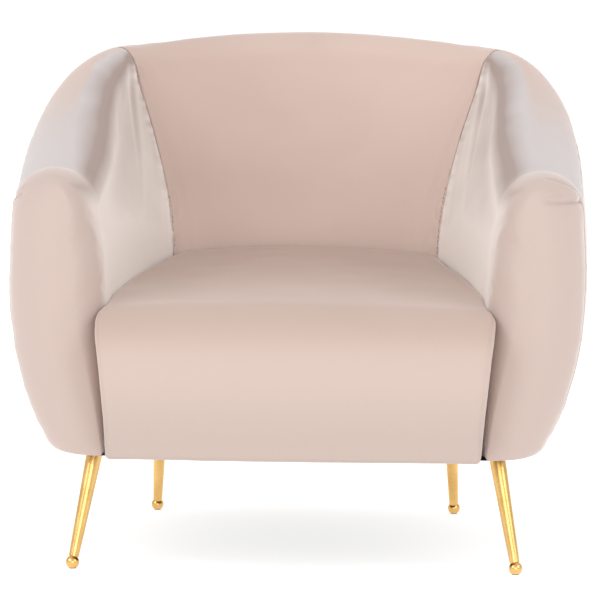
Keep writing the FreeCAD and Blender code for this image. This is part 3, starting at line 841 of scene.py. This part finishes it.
def colourRamp(tree, source, stops):
    ramp = tree.nodes.new("ShaderNodeValToRGB")
    tree.links.new(source, ramp.inputs["Fac"])
    while len(ramp.color_ramp.elements) < len(stops):
        ramp.color_ramp.elements.new(0.5)
    for element, (place, colour) in zip(ramp.color_ramp.elements, stops):
        element.position = place
        element.color = (*colour, 1.0)
    return ramp.outputs["Color"]


def mixColours(tree, factor, first, second):
    node = addNode(tree, "ShaderNodeMix", data_type="RGBA")
    for value, place in ((factor, 0), (first, 6), (second, 7)):
        if isinstance(value, bpy.types.NodeSocket):
            tree.links.new(value, node.inputs[place])
        else:
            node.inputs[place].default_value = (*value, 1.0) if place else value
    return node.outputs[2]


def maths(tree, operation, *values):
    return addNode(tree, "ShaderNodeMath", dict(enumerate(values)), operation=operation).outputs["Value"]


def objectPlace(tree):
    return addNode(tree, "ShaderNodeTexCoord").outputs["Object"]


def noiseAt(tree, place, scale, detail, roughness=0.5, distortion=0.0):
    inputs = {"Vector": place, "Scale": scale, "Detail": detail, "Roughness": roughness, "Distortion": distortion}
    return addNode(tree, "ShaderNodeTexNoise", inputs).outputs["Fac"]


def ranged(tree, value, low, high):
    # 0 at low and 1 at high, with soft ends
    inputs = {"Value": value, "From Min": low, "From Max": high}
    return addNode(tree, "ShaderNodeMapRange", inputs, interpolation_type="SMOOTHSTEP").outputs["Result"]


def spread(tree, value, low, high):
    return addNode(tree, "ShaderNodeMapRange", {"Value": value, "To Min": low, "To Max": high}).outputs["Result"]


def addRelief(tree, shader, height, strength, distance):
    bump = addNode(tree, "ShaderNodeBump", {"Strength": strength, "Distance": distance, "Height": height})
    tree.links.new(bump.outputs["Normal"], shader.inputs["Normal"])


def paint(tree, shader, colour):
    tree.links.new(colour, shader.inputs["Base Color"])


def paintedLightAndReliefGroup():
    # which way the cloth faces, loosened by slow clouds, as masks for painting light, shade and sheen into the
    # colour, and the pile's own fine relief
    group = bpy.data.node_groups.new("velvetPaintedLightAndRelief", "ShaderNodeTree")
    group.interface.new_socket("Loosen", in_out="INPUT", socket_type="NodeSocketFloat").default_value = 0.2
    outputs = ("Up", "Ahead", "Outward", "Cloud", "Height")
    for name in outputs:
        group.interface.new_socket(name, in_out="OUTPUT", socket_type="NodeSocketFloat")
    entry, leave = group.nodes.new("NodeGroupInput"), group.nodes.new("NodeGroupOutput")
    coordinates = addNode(group, "ShaderNodeTexCoord")
    place = coordinates.outputs["Object"]
    facing = addNode(group, "ShaderNodeSeparateXYZ", {"Vector": coordinates.outputs["Normal"]}).outputs
    cloud = noiseAt(group, place, 4.0, 3.0, 0.5, 0.5)
    shift = maths(group, "MULTIPLY", maths(group, "ADD", cloud, -0.5), entry.outputs["Loosen"])
    up = maths(group, "ADD", facing["Z"], shift)
    ahead = maths(group, "SUBTRACT", shift, facing["Y"])
    half = addNode(group, "ShaderNodeSeparateXYZ", {"Vector": place}).outputs["X"]
    outward = maths(group, "MULTIPLY", facing["X"], maths(group, "SIGN", half))
    height = maths(group, "ADD", noiseAt(group, place, 900.0, 2.0, 0.6), noiseAt(group, place, 160.0, 3.0, 0.6))
    for name, socket in zip(outputs, (up, ahead, outward, cloud, height)):
        group.links.new(socket, leave.inputs[name])
    return group


paintedLightAndRelief = paintedLightAndReliefGroup()
velvetLook = {
    "loosen": 0.25,
    "relief": (0.2, 0.0008),  # strength and depth of the pile
    "roughness": (0.74, 0.92),
    "sheen": 0.5,
    "sheenTint": (1.0, 0.96, 0.94, 1.0),
    "sheenRoughness": 0.4,
    "specular": 0.2,
}
# lit and shaded copies of one velvet, picked by which way the cloth faces
armTones = {
    # painted sheen on walls seen side-on
    "pale": (0.745, 0.682, 0.638),
    # painted shade on the inner shoulder
    "shade": (0.335, 0.257, 0.231),
    # painted sheen, cool grey, on the tops
    "paintedTopSheen": (0.52, 0.478, 0.474),
    # the velvet as lit from ahead
    "front": (0.508, 0.405, 0.364),
    "rear": (0.545, 0.415, 0.364),
}
# the back: darker to the left, lighter to the right, and a paler low tone that is painted light over the shade at
# its foot
backTones = {"left": (0.510, 0.386, 0.338), "right": (0.575, 0.440, 0.388), "low": (0.59, 0.462, 0.412)}
# the seat: the rear tone is painted shade where the seat runs in under the back, the top and front tones are shaded
# and lit copies of one velvet, and the hem tone is darker and greyer
seatTones = {
    "rear": (0.325, 0.204, 0.158),
    "top": (0.495, 0.378, 0.326),
    "front": (0.53, 0.420, 0.376),
    "hem": (0.480, 0.388, 0.344),
}


def velvetMaterial(name, look):
    # the shared part of the velvets: pile relief, roughness and sheen
    material, tree, shader = newMaterial(name)
    # its facing masks paint light, shade and sheen into the colour; its height is the pile's own relief
    lightMasksAndRelief = addNode(tree, "ShaderNodeGroup", {"Loosen": look["loosen"]}, node_tree=paintedLightAndRelief)
    addRelief(tree, shader, lightMasksAndRelief.outputs["Height"], *look["relief"])
    tree.links.new(spread(tree, lightMasksAndRelief.outputs["Cloud"], *look["roughness"]), shader.inputs["Roughness"])
    shader.inputs["Specular IOR Level"].default_value = look["specular"]
    shader.inputs["Sheen Weight"].default_value = look["sheen"]
    shader.inputs["Sheen Roughness"].default_value = look["sheenRoughness"]
    shader.inputs["Sheen Tint"].default_value = look["sheenTint"]
    place = addNode(tree, "ShaderNodeSeparateXYZ", {"Vector": objectPlace(tree)}).outputs
    return material, tree, shader, lightMasksAndRelief.outputs, place


def armVelvet(tones):
    material, tree, shader, lightMasksAndRelief, place = velvetMaterial("armVelvet", velvetLook)
    pale, shade, paintedTopSheen = tones["pale"], tones["shade"], tones["paintedTopSheen"]
    # inward walls: painted sheen low, painted shade on the shoulder, painted cool grey sheen on the top
    inside = colourRamp(tree, lightMasksAndRelief["Up"], [(0.0, pale), (0.20, pale), (0.60, shade), (0.74, shade), (0.93, paintedTopSheen)])
    # outward walls: painted sheen all over, giving way to the back's tone towards the rear
    outside = colourRamp(tree, lightMasksAndRelief["Up"], [(0.0, pale), (0.5, paintedTopSheen), (0.93, paintedTopSheen)])
    outside = mixColours(tree, ranged(tree, place["Y"], -0.18, 0.16), outside, tones["rear"])
    walls = mixColours(tree, ranged(tree, lightMasksAndRelief["Outward"], -0.20, 0.10), inside, outside)
    # the front's tone, the velvet as lit from ahead, starts a little way back on the top, but not on the walls
    near = ranged(tree, place["Y"], -0.195, -0.284)
    turned = maths(tree, "MAXIMUM", ranged(tree, lightMasksAndRelief["Ahead"], 0.08, 0.45), ranged(tree, lightMasksAndRelief["Up"], 0.40, 0.80))
    paint(tree, shader, mixColours(tree, maths(tree, "MULTIPLY", near, turned), walls, tones["front"]))
    return material


def backVelvet(tones):
    material, tree, shader, lightMasksAndRelief, place = velvetMaterial("backVelvet", velvetLook)
    across = maths(tree, "MULTIPLY_ADD", maths(tree, "ADD", lightMasksAndRelief["Cloud"], -0.5), 0.5, place["X"])
    wide = mixColours(tree, ranged(tree, across, -0.18, 0.16), tones["left"], tones["right"])
    # painted light: paler low down, where the back meets the seat
    paint(tree, shader, mixColours(tree, ranged(tree, place["Z"], 0.57, 0.46), wide, tones["low"]))
    return material


def seatVelvet(tones):
    material, tree, shader, lightMasksAndRelief, place = velvetMaterial("seatVelvet", velvetLook)
    # painted shade, darker towards the rear
    deep = maths(tree, "ADD", place["Y"], maths(tree, "MULTIPLY", lightMasksAndRelief["Cloud"], 0.14))
    top = mixColours(tree, ranged(tree, deep, -0.34, 0.12), tones["top"], tones["rear"])
    # over the brow the top's shaded tone turns to the front's lit tone, then darker and greyer towards the hem
    brow = mixColours(tree, ranged(tree, place["Z"], 0.38, 0.30), tones["top"], tones["front"])
    face = mixColours(tree, ranged(tree, place["Z"], 0.30, 0.20), brow, tones["hem"])
    paint(tree, shader, mixColours(tree, ranged(tree, lightMasksAndRelief["Up"], 0.10, 1.0), face, top))
    return material


for pieces, velvet in (((insideBack, outsideBack), backVelvet(backTones)), (armPieces, armVelvet(armTones)),
                       ((seatMesh,), seatVelvet(seatTones))):
    for piece in pieces:
        piece.data.materials.clear()
        piece.data.materials.append(velvet)

brassLook = {"colour": (0.84, 0.54, 0.205), "dull": (0.73, 0.44, 0.145), "roughness": (0.20, 0.34)}


def brassMaterial(look):
    material, tree, shader = newMaterial("polishedBrass")
    place = objectPlace(tree)
    cloud = noiseAt(tree, place, 24.0, 5.0, 0.6)
    paint(tree, shader, colourRamp(tree, cloud, [(0.35, look["dull"]), (0.6, look["colour"])]))
    stretched = addNode(tree, "ShaderNodeMapping", {"Vector": place, "Scale": (60.0, 60.0, 900.0)})
    tree.links.new(spread(tree, cloud, *look["roughness"]), shader.inputs["Roughness"])
    addRelief(tree, shader, noiseAt(tree, stretched.outputs["Vector"], 1.0, 2.0), 0.04, 0.0002)
    shader.inputs["Metallic"].default_value = 1.0
    return material


def grainMaterial(name, dark, pale, scale, rough):
    material, tree, shader = newMaterial(name)
    drawn = addNode(tree, "ShaderNodeMapping", {"Vector": objectPlace(tree), "Scale": scale})
    grain = noiseAt(tree, drawn.outputs["Vector"], 6.0, 6.0, 0.62, 0.4)
    paint(tree, shader, colourRamp(tree, grain, [(0.3, dark), (0.7, pale)]))
    addRelief(tree, shader, grain, 0.25, 0.0006)
    shader.inputs["Roughness"].default_value = rough
    return material


def steelMaterial(name, colour, rough):
    material, tree, shader = newMaterial(name)
    cloud = noiseAt(tree, objectPlace(tree), 70.0, 4.0)
    paint(tree, shader, colourRamp(tree, cloud, [(0.35, tuple(c * 0.7 for c in colour)), (0.65, colour)]))
    tree.links.new(spread(tree, cloud, rough - 0.08, rough + 0.1), shader.inputs["Roughness"])
    shader.inputs["Metallic"].default_value = 1.0
    return material


def clothMaterial(name, dark, pale, weaveScale):
    material, tree, shader = newMaterial(name)
    place = objectPlace(tree)
    wave = {"Vector": place, "Scale": weaveScale, "Distortion": 0.6}
    across, along = (addNode(tree, "ShaderNodeTexWave", wave, bands_direction=way).outputs["Fac"] for way in "XY")
    speck = noiseAt(tree, place, 45.0, 4.0)
    paint(tree, shader, colourRamp(tree, speck, [(0.35, dark), (0.65, pale)]))
    addRelief(tree, shader, maths(tree, "MAXIMUM", across, along), 0.35, 0.0005)
    shader.inputs["Roughness"].default_value = 0.9
    return material


def plasticMaterial(name, colour):
    material, tree, shader = newMaterial(name)
    speck = noiseAt(tree, objectPlace(tree), 400.0, 3.0)
    paint(tree, shader, colourRamp(tree, speck, [(0.4, colour), (0.75, tuple(c * 1.6 for c in colour))]))
    addRelief(tree, shader, speck, 0.2, 0.0002)
    shader.inputs["Roughness"].default_value = 0.55
    return material


finishes = {
    "brass": brassMaterial(brassLook),
    "wood": grainMaterial("sawnHardwood", (0.28, 0.15, 0.07), (0.52, 0.33, 0.17), (1.0, 14.0, 14.0), 0.62),
    "plywood": grainMaterial("birchPlywood", (0.50, 0.33, 0.17), (0.72, 0.54, 0.34), (3.0, 3.0, 40.0), 0.58),
    "spring_steel": steelMaterial("springWire", (0.30, 0.30, 0.32), 0.4),
    "clip_steel": steelMaterial("zincClips", (0.62, 0.62, 0.64), 0.32),
    "screw_steel": steelMaterial("zincScrews", (0.66, 0.65, 0.62), 0.28),
    "plate_steel": plasticMaterial("blackPlate", (0.03, 0.03, 0.03)),
    "webbing": clothMaterial("elasticWebbing", (0.34, 0.24, 0.14), (0.55, 0.42, 0.27), 260.0),
    "dust_cloth": clothMaterial("blackDustCloth", (0.012, 0.012, 0.013), (0.03, 0.03, 0.032), 380.0),
    "glide_plastic": plasticMaterial("glidePlastic", (0.05, 0.05, 0.05)),
}
slotOf = {part["node"]: part["material_slot"] for part in frame["record"]["subparts"]}
for name, node in frame["nodes"].items():
    finish = finishes.get(slotOf.get(name))
    if finish:
        for i in range(len(node.material_slots)):
            node.material_slots[i].material = finish
print("materials made")

# floor, backdrop and light
studio = {
    "paper": (0.55, 0.55, 0.552),
    "glow": 0.73,
    "world": 0.80,
    "backdrop": 1.05,
    "reach": (2.0, 6.0, 16.0),
    "aim": (0, 0, 0.4),
}
lamps = {
    "keyLight": {"place": (-3.0, -2.3, 2.5), "size": (2.2, 1.8), "power": 50},
    "fillLight": {"place": (3.0, -2.2, 2.2), "size": (2.0, 2.0), "power": 34},
    "frontLight": {"place": (0.3, -5.2, 1.1), "size": (3.4, 1.8), "power": 45},
    "topLight": {"place": (0.0, 0.6, 3.2), "size": (3.0, 2.0), "power": 10},
}


def buildStudio(look):
    # one wide sheet of paper, open all round, so that every side can be looked at
    marks = [-mark for mark in reversed(look["reach"])] + list(look["reach"])
    paper = gridMesh("studioPaper", stripQuads([[Vector((x, y, 0.0)) for y in marks] for x in marks]))
    for polygon in paper.data.polygons:
        polygon.use_smooth = True
    material, tree, shader = newMaterial("studioPaper")
    cloud, pale = noiseAt(tree, objectPlace(tree), 1.5, 2.0), look["paper"]
    paint(tree, shader, colourRamp(tree, cloud, [(0.3, tuple(c * 0.985 for c in pale)), (0.7, pale)]))
    shader.inputs["Roughness"].default_value = 0.9
    shader.inputs["Emission Color"].default_value = (1.0, 0.995, 0.99, 1.0)
    shader.inputs["Emission Strength"].default_value = look["glow"]
    paper.data.materials.append(material)


def softLight(name, aim, place, size, power):
    data = bpy.data.lights.new(name, "AREA")
    data.shape = "RECTANGLE"
    data.size, data.size_y = size
    data.energy = power
    light = bpy.data.objects.new(name, data)
    bpy.context.collection.objects.link(light)
    light.location = place
    light.rotation_euler = (Vector(aim) - Vector(place)).to_track_quat("-Z", "Y").to_euler()


buildStudio(studio)
for name, lamp in lamps.items():
    softLight(name, studio["aim"], **lamp)
world = bpy.data.worlds.new("studioWorld")
world.use_nodes = True
sky = world.node_tree
backdrop = sky.nodes["Background"]
backdrop.inputs["Color"].default_value = (1.0, 0.995, 0.99, 1.0)
seen = addNode(sky, "ShaderNodeLightPath").outputs["Is Camera Ray"]
sky.links.new(spread(sky, seen, studio["world"], studio["backdrop"]), backdrop.inputs["Strength"])
bpy.context.scene.world = world
bpy.context.scene.view_settings.view_transform = "Standard"
print("studio built")
